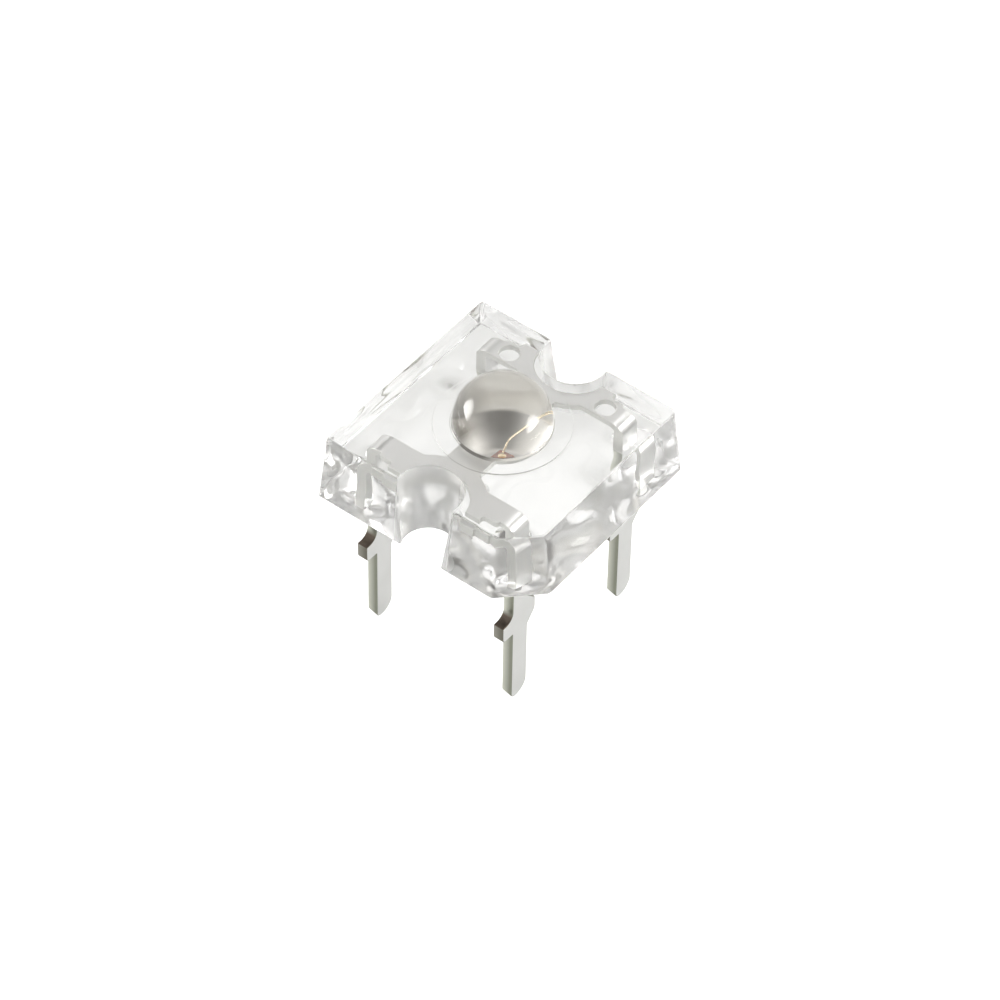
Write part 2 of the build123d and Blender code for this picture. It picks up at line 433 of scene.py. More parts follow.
def cup_tone_and_painted_crescent(tree, place, strip):
    """Tone round the cup: a brighter plated flange, and one darker crescent that is painted shade.
    """
    flat_spot = add(tree, "VectorMath", {0: place, 1: (1, 1, 0)}, operation="MULTIPLY")
    reach = add(tree, "VectorMath", {0: flat_spot}, operation="LENGTH")
    # Painted shade: a dark crescent over the cup's upper wall and the flange, on the side towards
    # -X and -Y.
    rim = add(
        tree,
        "MapRange",
        {
            "Value": reach,
            "From Min": (CUP_RADIUS - CRESCENT_WIDTH[0]) * MM,
            "From Max": (CUP_RADIUS - CRESCENT_WIDTH[1]) * MM,
        },
    )
    heading = add(tree, "VectorMath", {0: flat_spot, 1: CRESCENT_SIDE}, operation="DOT_PRODUCT")
    facing = add(tree, "Math", {0: heading, 1: reach}, operation="DIVIDE")
    near_side = add(
        tree,
        "MapRange",
        {"Value": facing, "From Min": CRESCENT_ENDS[0], "From Max": CRESCENT_ENDS[1]},
    )
    within = add(
        tree, "Math", {0: reach, 1: (FLANGE_RADIUS + FLANGE_MARGIN) * MM}, operation="LESS_THAN"
    )
    shade = add(tree, "Math", {0: rim, 1: near_side}, operation="MULTIPLY")
    crescent_shade = add(tree, "Math", {0: shade, 1: within}, operation="MULTIPLY")
    beyond_rim = add(tree, "Math", {0: reach, 1: CUP_RADIUS * MM}, operation="GREATER_THAN")
    on_flange = add(tree, "Math", {0: beyond_rim, 1: within}, operation="MULTIPLY")
    plated = add(
        tree, "Mix", {"Factor": on_flange, "A": strip, "B": colour("EBEAE6")}, data_type="RGBA"
    )
    return add(
        tree, "Mix", {"Factor": crescent_shade, "A": plated, "B": colour("5F5C56")}, data_type="RGBA"
    )


def plated_strip():
    """Rolled copper alloy strip, silver plated: satin, with fine lines along it."""
    made, tree, surface = material("silver-plated strip", Metallic=1)
    place = add(tree, "TexCoord").outputs["Object"]
    # Rolling lines 0.03 mm apart run along Y, which is the length of the strip.
    stretch = add(
        tree, "Mapping", {"Vector": place, "Scale": [1 / (size * MM) for size in ROLLING_LINES]}
    )
    lines = add(tree, "TexNoise", {"Vector": stretch, "Scale": 1})
    shine = add(tree, "MapRange", {"Value": lines, "To Min": 0.26, "To Max": 0.40})
    bump = add(tree, "Bump", {"Strength": 0.2, "Distance": LINE_DEPTH * MM, "Height": lines})
    # Tarnish comes and goes in patches of about 1 mm.
    patches = add(tree, "TexNoise", {"Vector": place, "Scale": 1 / (TARNISH_PATCH * MM)})
    strip = add(
        tree,
        "Mix",
        {"Factor": patches, "A": colour("DFDFDE"), "B": colour("D2D2D0")},
        data_type="RGBA",
    )
    tone = cup_tone_and_painted_crescent(tree, place, strip)
    connect(surface, {"Base Color": tone, "Roughness": shine, "Normal": bump})
    return made


def sheared_edge():
    """Cut edge of the strip: smooth where the punch went in, then torn and partly dull, with
    painted shade on the torn half, the ledges and the stops.
    """
    made, tree, surface = material("sheared strip edge", Metallic=1)
    place = add(tree, "TexCoord").outputs["Object"]
    face = add(tree, "NewGeometry")
    spot = add(tree, "SeparateXYZ", {0: place})
    facing = add(tree, "SeparateXYZ", {0: face.outputs["Normal"]})
    # Each upright lead is one sheet thick; the torn part is its half at +X, darker partly as a dull
    # fracture zone and partly as painted shade.
    within = add(
        tree,
        "Math",
        {0: spot.outputs["X"], 1: (HALF_PITCH - SHEET / 2) * MM, 2: (-HALF_PITCH - SHEET / 2) * MM},
        operation="WRAP",
    )
    torn_and_shaded = add(
        tree,
        "MapRange",
        {
            "Value": within,
            "From Min": (-HALF_PITCH + SHEET * TORN_AND_SHADED_PART[0]) * MM,
            "From Max": (-HALF_PITCH + SHEET * TORN_AND_SHADED_PART[1]) * MM,
        },
    )
    cut = add(
        tree,
        "Mix",
        {"Factor": torn_and_shaded, "A": colour("D0D1C6"), "B": colour("8C8E81")},
        data_type="RGBA",
    )
    # Painted shade: the ledges that face up are painted dark brown, and the stops less so.
    up_facing_shade = add(
        tree,
        "MapRange",
        {"Value": facing.outputs["Z"], "From Min": LEDGE_FACING[0], "From Max": LEDGE_FACING[1]},
    )
    across_lead = add(
        tree, "Math", {0: spot.outputs["Y"], 1: 2 * HALF_PITCH * MM, 2: 0}, operation="WRAP"
    )
    off_middle = add(tree, "Math", {0: across_lead, 1: HALF_PITCH * MM}, operation="SUBTRACT")
    beyond = add(tree, "Math", {0: off_middle}, operation="ABSOLUTE")
    stop_shade = add(
        tree,
        "MapRange",
        {
            "Value": beyond,
            "From Min": (LEAD_WIDTH / 2 + STOP_SHADE[0]) * MM,
            "From Max": (LEAD_WIDTH / 2 + STOP_SHADE[1]) * MM,
            "To Max": STOP_SHADE[2],
        },
    )
    ledge_shade = add(tree, "Math", {0: up_facing_shade, 1: stop_shade}, operation="MAXIMUM")
    shaded_edge_tone = add(
        tree, "Mix", {"Factor": ledge_shade, "A": cut, "B": colour("5A5149")}, data_type="RGBA"
    )
    # Inside the casting the edges stay bright.
    cast_in = add(
        tree, "Math", {0: spot.outputs["Z"], 1: UNDERSIDE_Z * MM}, operation="GREATER_THAN"
    )
    tone = add(
        tree, "Mix", {"Factor": cast_in, "A": shaded_edge_tone, "B": colour("DCDCD8")}, data_type="RGBA"
    )
    # Fine tearing marks, 0.025 mm wide, cover the edge.
    marks = add(tree, "TexNoise", {"Vector": place, "Scale": 1 / (TEARING_MARK * MM)})
    rough = add(tree, "MapRange", {"Value": marks, "To Min": 0.32, "To Max": 0.5})
    connect(surface, {"Base Color": tone, "Roughness": rough})
    return made


def gold():
    """Drawn gold wire: bright, with faint drawing lines."""
    made, tree, surface = material("gold wire", Base_Color=colour("F5E6CB"), Metallic=1)
    place = add(tree, "TexCoord").outputs["Object"]
    # Lines of the drawing die, 0.005 mm apart.
    lines = add(tree, "TexNoise", {"Vector": place, "Scale": 1 / (DRAWING_LINE * MM)})
    shine = add(tree, "MapRange", {"Value": lines, "To Min": 0.15, "To Max": 0.35})
    connect(surface, {"Roughness": shine})
    return made


def silver_glue():
    """Silver-filled glue: grey, dull, with flakes about 0.01 mm across."""
    made, tree, surface = material("silver-filled glue", Metallic=0.6)
    place = add(tree, "TexCoord").outputs["Object"]
    flakes = add(tree, "TexVoronoi", {"Vector": place, "Scale": 1 / (GLUE_FLAKE * MM)})
    tone = add(
        tree,
        "Mix",
        {"Factor": flakes, "A": colour("A6A4A0"), "B": colour("6E6C68")},
        data_type="RGBA",
    )
    shine = add(tree, "MapRange", {"Value": flakes, "To Min": 0.35, "To Max": 0.6})
    connect(surface, {"Base Color": tone, "Roughness": shine})
    return made


def chip_crystal():
    """Sawn semiconductor crystal: glossy, dark reddish brown, paler at its streaks."""
    made, tree, surface = material("semiconductor crystal", IOR=2.4)
    place = add(tree, "TexCoord").outputs["Object"]
    # Saw and growth streaks, 0.04 mm apart.
    streaks = add(tree, "TexNoise", {"Vector": place, "Scale": 1 / (SAW_STREAK * MM)})
    tone = add(
        tree,
        "Mix",
        {"Factor": streaks, "A": colour("6E3A2C"), "B": colour("A86A55")},
        data_type="RGBA",
    )
    shine = add(tree, "MapRange", {"Value": streaks, "To Min": 0.15, "To Max": 0.3})
    connect(surface, {"Base Color": tone, "Roughness": shine})
    return made


EPOXY = clear_epoxy()
METALS = [plated_strip(), sheared_edge()]
GOLD = gold()
GLUE = silver_glue()
CRYSTAL = chip_crystal()


# Meshes


class Skin:
    """Points with their own normals, and the faces between them."""

    def __init__(self):
        self.points = []
        self.faces = []
        self.normals = []
        self.finishes = []

    def ring(self, points):
        """Adds points and gives their numbers."""
        first = len(self.points)
        self.points += [tuple(p) for p in points]
        return list(range(first, len(self.points)))

    def face(self, corners, normals, finish=0):
        """Adds a face with one normal for each corner and the number of its finish."""
        self.faces.append(tuple(corners))
        self.finishes.append(finish)
        self.normals.append([tuple(n) for n in normals])

    def band(self, low, high, low_normals, high_normals):
        """Joins two closed rings of as many points, low to high, facing out."""
        count = len(low)
        for i in range(count):
            j = (i + 1) % count
            corners = (low[i], low[j], high[j], high[i])
            normals = (low_normals[i], low_normals[j], high_normals[j], high_normals[i])
            self.face(corners, normals)

    def make(self, name, materials, slot, nodes, place=None):
        """The mesh object, in metres, riding on the part and shown for its nodes."""
        points = self.points
        normals = [n for face in self.normals for n in face]
        if place:
            corners = [points[i] for face in self.faces for i in face]
            normals = [place(p, n)[1] for p, n in zip(corners, normals)]
            points = [place(p, (0, 0, 1))[0] for p in points]
        mesh = bpy.data.meshes.new(name)
        mesh.from_pydata([Vector(p) * MM for p in points], [], self.faces)
        mesh.polygons.foreach_set("use_smooth", [True] * len(self.faces))
        mesh.normals_split_custom_set([Vector(n).normalized() for n in normals])
        for finish in materials:
            mesh.materials.append(finish)
        mesh.polygons.foreach_set("material_index", self.finishes)
        made = bpy.data.objects.new(name, mesh)
        bpy.context.collection.objects.link(made)
        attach(made, "root")
        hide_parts(*nodes)
        return made


def arc(centre, radius, start, end, step=4, count=0):
    """Points of an arc, from one angle to the other in degrees."""
    count = count or max(2, math.ceil(abs(end - start) / step))
    angles = [math.radians(start + (end - start) * i / count) for i in range(count + 1)]
    return [(centre[0] + radius * math.cos(a), centre[1] + radius * math.sin(a)) for a in angles]


def circle_turns(count):
    """Angles of points spread evenly round a circle."""
    return [2 * math.pi * i / count for i in range(count)]


def angle_to(centre, point):
    """Direction from the centre to the point, in degrees."""
    return math.degrees(math.atan2(point[1] - centre[1], point[0] - centre[0]))


def across(radius, height):
    """Half the width of a circle at this height from its centre."""
    return math.sqrt(radius**2 - height**2)


def blend(pair, share):
    """Value between the two of a pair."""
    return pair[0] + (pair[1] - pair[0]) * share


# Casting


def block_outline(share, inset):
    """Outline of the block at a share of its height, as (x, y, normal x, normal y, rise)."""
    half = BODY_HALF - BODY_DRAFT * share - inset
    cut = blend(NOTCH_RADIUS, share) + inset
    lip = NOTCH_LIP - inset
    lip_y = half - lip
    lip_x = across(cut + lip, lip_y - NOTCH_Y)
    notch_rise = (NOTCH_RADIUS[1] - NOTCH_RADIUS[0]) / BODY_HEIGHT
    found = []

    def corner(centre, radius, start, sweep, cut_shift):
        for x, y in arc(centre, radius, start, start + sweep, count=CORNER_POINTS):
            nx, ny = (x - centre[0]) / radius, (y - centre[1]) / radius
            drift = -BODY_DRAFT * (abs(nx) + abs(ny)) - cut_shift * min(abs(nx), abs(ny))
            found.append((x, y, nx, ny, -drift / BODY_HEIGHT))

    def plain_corner(sign_x, sign_y, full_radius, start):
        radius = full_radius - inset
        corner((sign_x * (half - radius), sign_y * (half - radius)), radius, start, 90, 0)

    def mark_corner():
        radius = MARK_EDGE - inset
        cut = blend(MARK_CUT, share) - inset * (2 - math.sqrt(2))
        along = half - cut - radius * math.tan(math.pi / 8)
        cut_shift = MARK_CUT[1] - MARK_CUT[0]
        corner((along, radius - half), radius, 270, 45, cut_shift)
        corner((half - radius, -along), radius, 315, 45, cut_shift)

    def notch(side):
        centre = (0, side * NOTCH_Y)
        near, far = (side * lip_x, side * lip_y), (-side * lip_x, side * lip_y)
        turn_to = 90 * side
        inward = angle_to(near, centre)
        span = (inward - turn_to) % 360
        for x, y in arc(near, lip, turn_to, turn_to + span, count=LIP_POINTS):
            nx, ny = (x - near[0]) / lip, (y - near[1]) / lip
            found.append((x, y, nx, ny, BODY_DRAFT / BODY_HEIGHT))
        start = angle_to(centre, near)
        sweep = (angle_to(centre, far) - start) % 360 - 360
        for x, y in arc(centre, cut, start, start + sweep, count=NOTCH_POINTS)[1:-1]:
            nx, ny = (centre[0] - x) / cut, (centre[1] - y) / cut
            found.append((x, y, nx, ny, notch_rise))
        outward = angle_to(far, centre)
        span = (turn_to - outward) % 360
        for x, y in arc(far, lip, outward, outward + span, count=LIP_POINTS):
            nx, ny = (x - far[0]) / lip, (y - far[1]) / lip
            found.append((x, y, nx, ny, BODY_DRAFT / BODY_HEIGHT))

    plain_corner(1, 1, PLAIN_RADIUS, 0)
    notch(1)
    plain_corner(-1, 1, SHARP_RADIUS, 90)
    plain_corner(-1, -1, SHARP_RADIUS, 180)
    notch(-1)
    mark_corner()
    return found


def planar_fill(skin, loops, numbers, facing, lines=()):
    """Fills the flat area between closed loops; the holes among them stay open."""
    flat = [Vector(p) for loop in loops for p in loop]
    index = [n for loop in numbers for n in loop]
    edges = []
    first = 0
    for loop in loops:
        edges += [(first + i, first + (i + 1) % len(loop)) for i in range(len(loop))]
        first += len(loop)
    edges += lines
    places, _, triangles, origin = delaunay_2d_cdt(flat, edges, [], 0, SAME_POINT)[:4]
    for triangle in triangles:
        middle = sum((places[i] for i in triangle), Vector((0, 0))) / 3
        if not inside(loops, middle):
            continue
        corners = [index[origin[i][0]] for i in triangle]
        if facing < 0:
            corners.reverse()
        skin.face(corners, [(0, 0, facing)] * 3)


def inside(loops, point):
    """Whether a flat point lies in the area between the loops."""
    crossings = 0
    for loop in loops:
        for (x1, y1), (x2, y2) in zip(loop, loop[1:] + loop[:1]):
            if (y1 > point[1]) != (y2 > point[1]):
                crossings += point[0] < x1 + (point[1] - y1) * (x2 - x1) / (y2 - y1)
    return crossings % 2 == 1


def lens_profile():
    """Profile of the step, the foot and the dome, as (radius, z, normal r, normal z)."""
    step_z = TOP_Z + STEP_HEIGHT
    spring_z = step_z + FOOT_FLARE + LENS_STRAIGHT
    found = [(STEP_RADIUS, TOP_Z, 1, 0)]
    edge = (STEP_RADIUS - STEP_EDGE, step_z - STEP_EDGE)
    for r, z in arc(edge, STEP_EDGE, 0, 90, 15):
        found.append((r, z, (r - edge[0]) / STEP_EDGE, (z - edge[1]) / STEP_EDGE))
    foot = (LENS_RADIUS + FOOT_FLARE, step_z + FOOT_FLARE)
    for r, z in arc(foot, FOOT_FLARE, 270, 180, FOOT_STEP):
        found.append((r, z, (foot[0] - r) / FOOT_FLARE, (foot[1] - z) / FOOT_FLARE))
    for r, z in arc((0, spring_z), LENS_RADIUS, 0, 90 - LENS_STEP, LENS_STEP):
        found.append((r, z, r / LENS_RADIUS, (z - spring_z) / LENS_RADIUS))
    return found, spring_z + LENS_RADIUS


def block_rows():
    """Rows of the block from the underside up, as (share of height, inset, tilt)."""
    rows = []
    for i in range(BOTTOM_ROWS + 1):
        tilt = math.radians(90 * i / BOTTOM_ROWS - 90)
        height = BOTTOM_EDGE * (1 + math.sin(tilt))
        rows.append((height / BODY_HEIGHT, BOTTOM_EDGE * (1 - math.cos(tilt)), tilt))
    for i in range(1, WALL_ROWS):
        rows.append((blend(WALL_SPAN, i / WALL_ROWS), 0, 0))
    for i in range(TOP_ROWS + 1):
        tilt = math.radians(90 * i / TOP_ROWS)
        height = BODY_HEIGHT - TOP_EDGE * (1 - math.sin(tilt))
        rows.append((height / BODY_HEIGHT, TOP_EDGE * (1 - math.cos(tilt)), tilt))
    return rows


def casting():
    """The outer skin of the epoxy: block, notches, step and dome in one."""
    skin = Skin()
    before = None
    for share, inset, tilt in block_rows():
        outline = block_outline(share, inset)
        flat = [(x, y) for x, y, *_ in outline]
        z = UNDERSIDE_Z + BODY_HEIGHT * share
        numbers = skin.ring([(x, y, z) for x, y in flat])
        wall = [Vector((nx, ny, rise)).normalized() for _, _, nx, ny, rise in outline]
        normals = [w * math.cos(tilt) + Vector((0, 0, math.sin(tilt))) for w in wall]
        if before:
            skin.band(before[0], numbers, before[1], normals)
        else:
            planar_fill(skin, [flat], [numbers], -1)
        before = (numbers, normals)
    profile, crown = lens_profile()
    turns = circle_turns(LENS_POINTS)
    last = None
    for radius, z, out, rise in profile:
        ring = skin.ring([(radius * math.cos(a), radius * math.sin(a), z) for a in turns])
        normals = [(out * math.cos(a), out * math.sin(a), rise) for a in turns]
        if last:
            skin.band(last[0], ring, last[1], normals)
        else:
            foot = [(radius * math.cos(a), radius * math.sin(a)) for a in turns]
            planar_fill(skin, [flat, foot], [numbers, ring], 1)
        last = (ring, normals)
    tip = skin.ring([(0, 0, crown)])[0]
    for i in range(LENS_POINTS):
        j = (i + 1) % LENS_POINTS
        skin.face((last[0][i], last[0][j], tip), (last[1][i], last[1][j], (0, 0, 1)))
    return skin.make("epoxy_skin", [EPOXY], "clear_epoxy", ["epoxy_body"])


# Lead frames, made as flat blanks and then bent


def rounded_path(corners):
    """Points along straight runs whose corners, (x, y, radius), are rounded."""
    found = []
    for i, (x, y, radius) in enumerate(corners):
        if i in (0, len(corners) - 1) or not radius:
            found.append((x, y))
            continue
        here = Vector((x, y))
        to_last = (Vector(corners[i - 1][:2]) - here).normalized()
        to_next = (Vector(corners[i + 1][:2]) - here).normalized()
        half_angle = to_last.angle(to_next) / 2
        reach = radius / math.tan(half_angle)
        centre = here + (to_last + to_next).normalized() * (radius / math.sin(half_angle))
        start = angle_to(centre, here + to_last * reach)
        sweep = (angle_to(centre, here + to_next * reach) - start + 180) % 360 - 180
        found += arc(centre, radius, start, start + sweep, FINE_STEP)
    return found


def lead_path(side):
    """Both edges of one lead from the plate's inner edge to its outer one, laid flat."""
    start_x = BEND_X + BEND_LENGTH + BEND_Z
    inner = PLATE_INNER
    outer = PLATE_INNER + LEAD_WIDTH

    def edge(level, reach_sign, shape):
        return [
            (start_x - UNDERSIDE_Z + depth, level + reach_sign * reach, radius)
            for reach, depth, radius in shape
        ]

    first, second = (STOP_EDGE, SWELL_EDGE) if side > 0 else (SWELL_EDGE, STOP_EDGE)
    tips = TIP_ROUND if side > 0 else TIP_ROUND[::-1]
    corners = [(BEND_X, inner, 0)]
    corners += edge(inner, -1, first) + [(start_x, inner, tips[0])]
    corners += [(start_x, outer, tips[1])] + edge(outer, 1, second[::-1])
    corners += [(BEND_X, outer, 0)]
    return rounded_path(corners)


def plate_half(side, middle):
    """Right half of a frame's blank from the middle piece to the notch's middle."""
    ring = (0, NOTCH_Y)
    found = list(middle)
    inner_y = PLATE_INNER - INNER_ROUND
    inner = (across(RING_OUTER + INNER_ROUND, NOTCH_Y - inner_y), inner_y)
    start = angle_to(ring, found[-1])
    end = angle_to(ring, inner)
    found += arc(ring, RING_OUTER, start, end)[1:]
    found += arc(inner, INNER_ROUND, end + 180, 90)[1:]
    found += lead_path(side)
    shoulder = (BEND_X - SHOULDER_ROUND, PLATE_SHOULDER - SHOULDER_ROUND)
    found += arc(shoulder, SHOULDER_ROUND, 0, 90, 10)
    outer_y = PLATE_SHOULDER + SHOULDER_ROUND
    outer = (across(RING_OUTER + SHOULDER_ROUND, outer_y - NOTCH_Y), outer_y)
    start = angle_to(ring, outer)
    found += arc(outer, SHOULDER_ROUND, 270, start + 180, 10)
    end_height = PLATE_OUTER - NOTCH_Y
    outer_end = (across(RING_OUTER, end_height), PLATE_OUTER)
    found += arc(ring, RING_OUTER, start, angle_to(ring, outer_end))[1:]
    inner_end = (across(RING_INNER, end_height), PLATE_OUTER)
    found += arc(ring, RING_INNER, angle_to(ring, inner_end), -90)
    return found


def blank_outline(side, middle):
    """Closed outline of a frame's flat blank, turned to its own side."""
    half = plate_half(side, middle)
    whole = half + [(-x, y) for x, y in reversed(half[1:-1])]
    if abs(half[0][0]) > NEAR:
        whole.append((-half[0][0], half[0][1]))
    whole = [(x, side * y) for x, y in whole]
    return whole if side > 0 else whole[::-1]


def with_bend_points(loop, places):
    """The loop with points added where its runs cross these distances from the middle."""
    found = []
    for start, end in zip(loop, loop[1:] + loop[:1]):
        found.append(start)
        crossed = []
        for place in places:
            for x in (-place, place):
                if min(start[0], end[0]) + NEAR < x < max(start[0], end[0]) - NEAR:
                    crossed.append((x - start[0]) / (end[0] - start[0]))
        for share in sorted(crossed):
            found.append(tuple(Vector(start).lerp(Vector(end), share)))
    return found


def edge_normals(loop):
    """Outward normals at each point, before and after it, of a loop that runs left."""
    count = len(loop)
    along = []
    for i in range(count):
        step = Vector(loop[(i + 1) % count]) - Vector(loop[i])
        along.append(Vector((step.y, -step.x)).normalized())
    found = []
    for i in range(count):
        before, after = along[i - 1], along[i]
        if before.angle(after, 0) < math.radians(SMOOTH_TURN):
            middle = (before + after).normalized()
            before = after = middle
        found.append((before, after))
    return found


def inset_loop(loop, normals, distance):
    """The loop moved inwards."""
    found = []
    for point, (before, after) in zip(loop, normals):
        mitre = (before + after).normalized()
        reach = distance / max(MITRE_LIMIT, mitre.dot(after))
        found.append(tuple(Vector(point) - mitre * reach))
    return found


def bent(point, normal):
    """A point of the flat blank, and its normal, after both bends are pressed."""
    x, y, off = point
    sign = -1 if x < 0 else 1
    beyond = abs(x) - BEND_X
    angle = min(max(beyond, 0), BEND_LENGTH) / BEND_MID
    reach = BEND_MID + off
    out_x = min(abs(x), BEND_X) + reach * math.sin(angle)
    z = BEND_Z + reach * math.cos(angle) - max(beyond - BEND_LENGTH, 0)
    across_sheet = 0.5 - sign * off / SHEET
    if z < TIP_REACH:
        z += TIP_SLANT * across_sheet * (1 - z / TIP_REACH)
    along, facing = normal[0] * sign, normal[2]
    nx = sign * (along * math.cos(angle) + facing * math.sin(angle))
    nz = facing * math.cos(angle) - along * math.sin(angle)
    return (sign * out_x, y, z), (nx, normal[1], nz)


def stamped_blank(outlines, top_hole=None, bottom_hole=None):
    """A sheet cut to these outlines, with eased edges, laid flat round its middle.

    A hole is one loop of one face alone. Gives the skin and the numbers of the
    points round each hole.
    """
    skin = Skin()
    places = [BEND_X + BEND_LENGTH * i / BEND_ROWS for i in range(BEND_ROWS + 1)]
    loops = [with_bend_points(loop, places) for loop in outlines]
    top_loops = []
    top_numbers = []
    bottom_loops = []
    bottom_numbers = []
    for loop in loops:
        rows, numbered = cut_edge(skin, loop)
        top_loops.append(rows[0][0])
        top_numbers.append(numbered[0])
        bottom_loops.append(rows[-1][0])
        bottom_numbers.append(numbered[-1])
    across_bends = bend_lines(loops, places)
    holes = []
    if top_hole:
        top_loops.append(top_hole)
        top_numbers.append(skin.ring([(x, y, SHEET / 2) for x, y in top_hole]))
        holes.append(top_numbers[-1])
    if bottom_hole:
        bottom_loops.append(bottom_hole)
        bottom_numbers.append(skin.ring([(x, y, -SHEET / 2) for x, y in bottom_hole]))
        holes.append(bottom_numbers[-1])
    planar_fill(skin, top_loops, top_numbers, 1, across_bends)
    planar_fill(skin, bottom_loops, bottom_numbers, -1, across_bends)
    return skin, holes


def cut_edge(skin, loop):
    """The cut edge of a sheet along a loop; gives its rows and their points' numbers."""
    normals = edge_normals(loop)
    eased = inset_loop(loop, normals, STAMPED_EDGE)
    rows = []
    for i in range(EDGE_ROWS + 1):
        tilt = math.radians(90 - 90 * i / EDGE_ROWS)
        share = 1 - math.cos(tilt)
        flat = [tuple(Vector(p).lerp(Vector(q), share)) for p, q in zip(loop, eased)]
        z = SHEET / 2 - STAMPED_EDGE * (1 - math.sin(tilt))
        rows.append((flat, z, tilt))
    rows += [(flat, -z, -tilt) for flat, z, tilt in reversed(rows)]
    numbered = [skin.ring([(x, y, z) for x, y in flat]) for flat, z, _ in rows]
    for k in range(len(rows) - 1):
        high = numbered[k]
        low = numbered[k + 1]
        high_tilt = rows[k][2]
        low_tilt = rows[k + 1][2]
        for i in range(len(loop)):
            j = (i + 1) % len(loop)
            here = normals[i][1]
            there = normals[j][0]
            leans = [
                leaning(here, low_tilt),
                leaning(there, low_tilt),
                leaning(there, high_tilt),
                leaning(here, high_tilt),
            ]
            skin.face((low[i], low[j], high[j], high[i]), leans, finish=1)
    return rows, numbered


def bend_lines(loops, places):
    """Pairs of points between which a line crosses a lead where it bends."""
    found = []
    first = 0
    for loop in loops:
        for place in places:
            for x in (-place, place):
                hits = [first + i for i, p in enumerate(loop) if abs(p[0] - x) < NEAR]
                if len(hits) == 2:
                    found.append(tuple(hits))
        first += len(loop)
    return found


def leaning(flat_normal, tilt):
    """A sideways normal turned up by this angle."""
    side = flat_normal * math.cos(tilt)
    return (side.x, side.y, math.sin(tilt))


def turned(skin, profile, ring, top_side):
    """Turned form from a hole's ring to its middle, seen from above or from below."""
    turns = circle_turns(len(ring))
    normals = turned_normals(profile[0], turns)
    for radius, z, out, rise in profile[1:]:
        next_ring = skin.ring([(radius * math.cos(a), radius * math.sin(a), z) for a in turns])
        next_normals = turned_normals((radius, z, out, rise), turns)
        for i in range(len(ring)):
            j = (i + 1) % len(ring)
            corners = [ring[i], ring[j], next_ring[j], next_ring[i]]
            leans = [normals[i], normals[j], next_normals[j], next_normals[i]]
            turned_face(skin, corners, leans, top_side)
        ring = next_ring
        normals = next_normals
    middle = skin.ring([(0, 0, profile[-1][1])])[0]
    for i in range(len(ring)):
        j = (i + 1) % len(ring)
        leans = [normals[i], normals[j], (0, 0, profile[-1][3])]
        turned_face(skin, [ring[i], ring[j], middle], leans, top_side)


def turned_normals(row, turns):
    """Normals round one row, (radius, z, normal r, normal z), of a turned form."""
    return [(row[2] * math.cos(a), row[2] * math.sin(a), row[3]) for a in turns]


def turned_face(skin, corners, normals, top_side):
    """A face of a turned form, turned over where it is seen from below."""
    if not top_side:
        corners.reverse()
        normals.reverse()
    skin.face(corners, normals)


def cup_inside():
    """Profile of the cup's inside from its rim to the edge of its floor."""
    slope = math.atan2(CUP_DEPTH, CUP_RADIUS - CUP_FLOOR_RADIUS)
    rim = CUP_RADIUS + CUP_ROUND * math.tan(slope / 2)
    floor = CUP_FLOOR_RADIUS - CUP_ROUND * math.tan(slope / 2)
    floor_z = SHEET / 2 - CUP_DEPTH
    angles = [slope * i / CUP_ROWS for i in range(CUP_ROWS + 1)]
    found = []
    for a in angles:
        drop = CUP_ROUND * (1 - math.cos(a))
        found.append((rim - CUP_ROUND * math.sin(a), SHEET / 2 - drop, -math.sin(a), math.cos(a)))
    for a in reversed(angles):
        lift = CUP_ROUND * (1 - math.cos(a))
        found.append((floor + CUP_ROUND * math.sin(a), floor_z + lift, -math.sin(a), math.cos(a)))
    return found


def cup_outside():
    """Profile of the cup's outside from the sheet to near the middle of its base."""
    base_z = SHEET / 2 - CUP_DEPTH - CUP_WALL
    outer = CUP_RADIUS + CUP_WALL
    base = CUP_FLOOR_RADIUS + CUP_WALL
    lean = math.atan2(-SHEET / 2 - base_z, outer - base)
    wall = (math.sin(lean), -math.cos(lean))
    corner = (Vector(wall) + Vector((0, -1))).normalized()
    return [
        (outer, -SHEET / 2, *wall),
        (base + CUP_UNDER_ROUND, base_z + CUP_UNDER_ROUND * math.tan(lean), *wall),
        (base, base_z + CUP_UNDER_ROUND / 6, *corner),
        (base - CUP_UNDER_ROUND, base_z, 0, -1),
        (CUP_UNDER_MIDDLE, base_z, 0, -1),
    ]


def reflector_frame():
    """Frame on the -Y side, with the pressed reflector cup."""
    ring = (0, NOTCH_Y)
    root_x = NECK_HALF + NECK_ROUND
    root = (root_x, NOTCH_Y - across(RING_OUTER + NECK_ROUND, root_x))
    flange_end = (NECK_HALF, across(FLANGE_RADIUS, NECK_HALF))
    middle = arc((0, 0), FLANGE_RADIUS, -90, angle_to((0, 0), flange_end), FLANGE_STEP)
    middle += arc(root, NECK_ROUND, 180, angle_to(ring, root) + 180, FINE_STEP)
    outline = blank_outline(-1, middle)
    inside_profile = cup_inside()
    outside_profile = cup_outside()
    turns = circle_turns(CUP_POINTS)
    rim = inside_profile[0][0]
    outer = outside_profile[0][0]
    skin, holes = stamped_blank(
        [outline],
        [(rim * math.cos(a), rim * math.sin(a)) for a in turns],
        [(outer * math.cos(a), outer * math.sin(a)) for a in turns],
    )
    turned(skin, inside_profile, holes[0], True)
    turned(skin, outside_profile, holes[1], False)
    return skin.make("reflector_strip", METALS, "plated_lead_frame", ["reflector_frame"], bent)


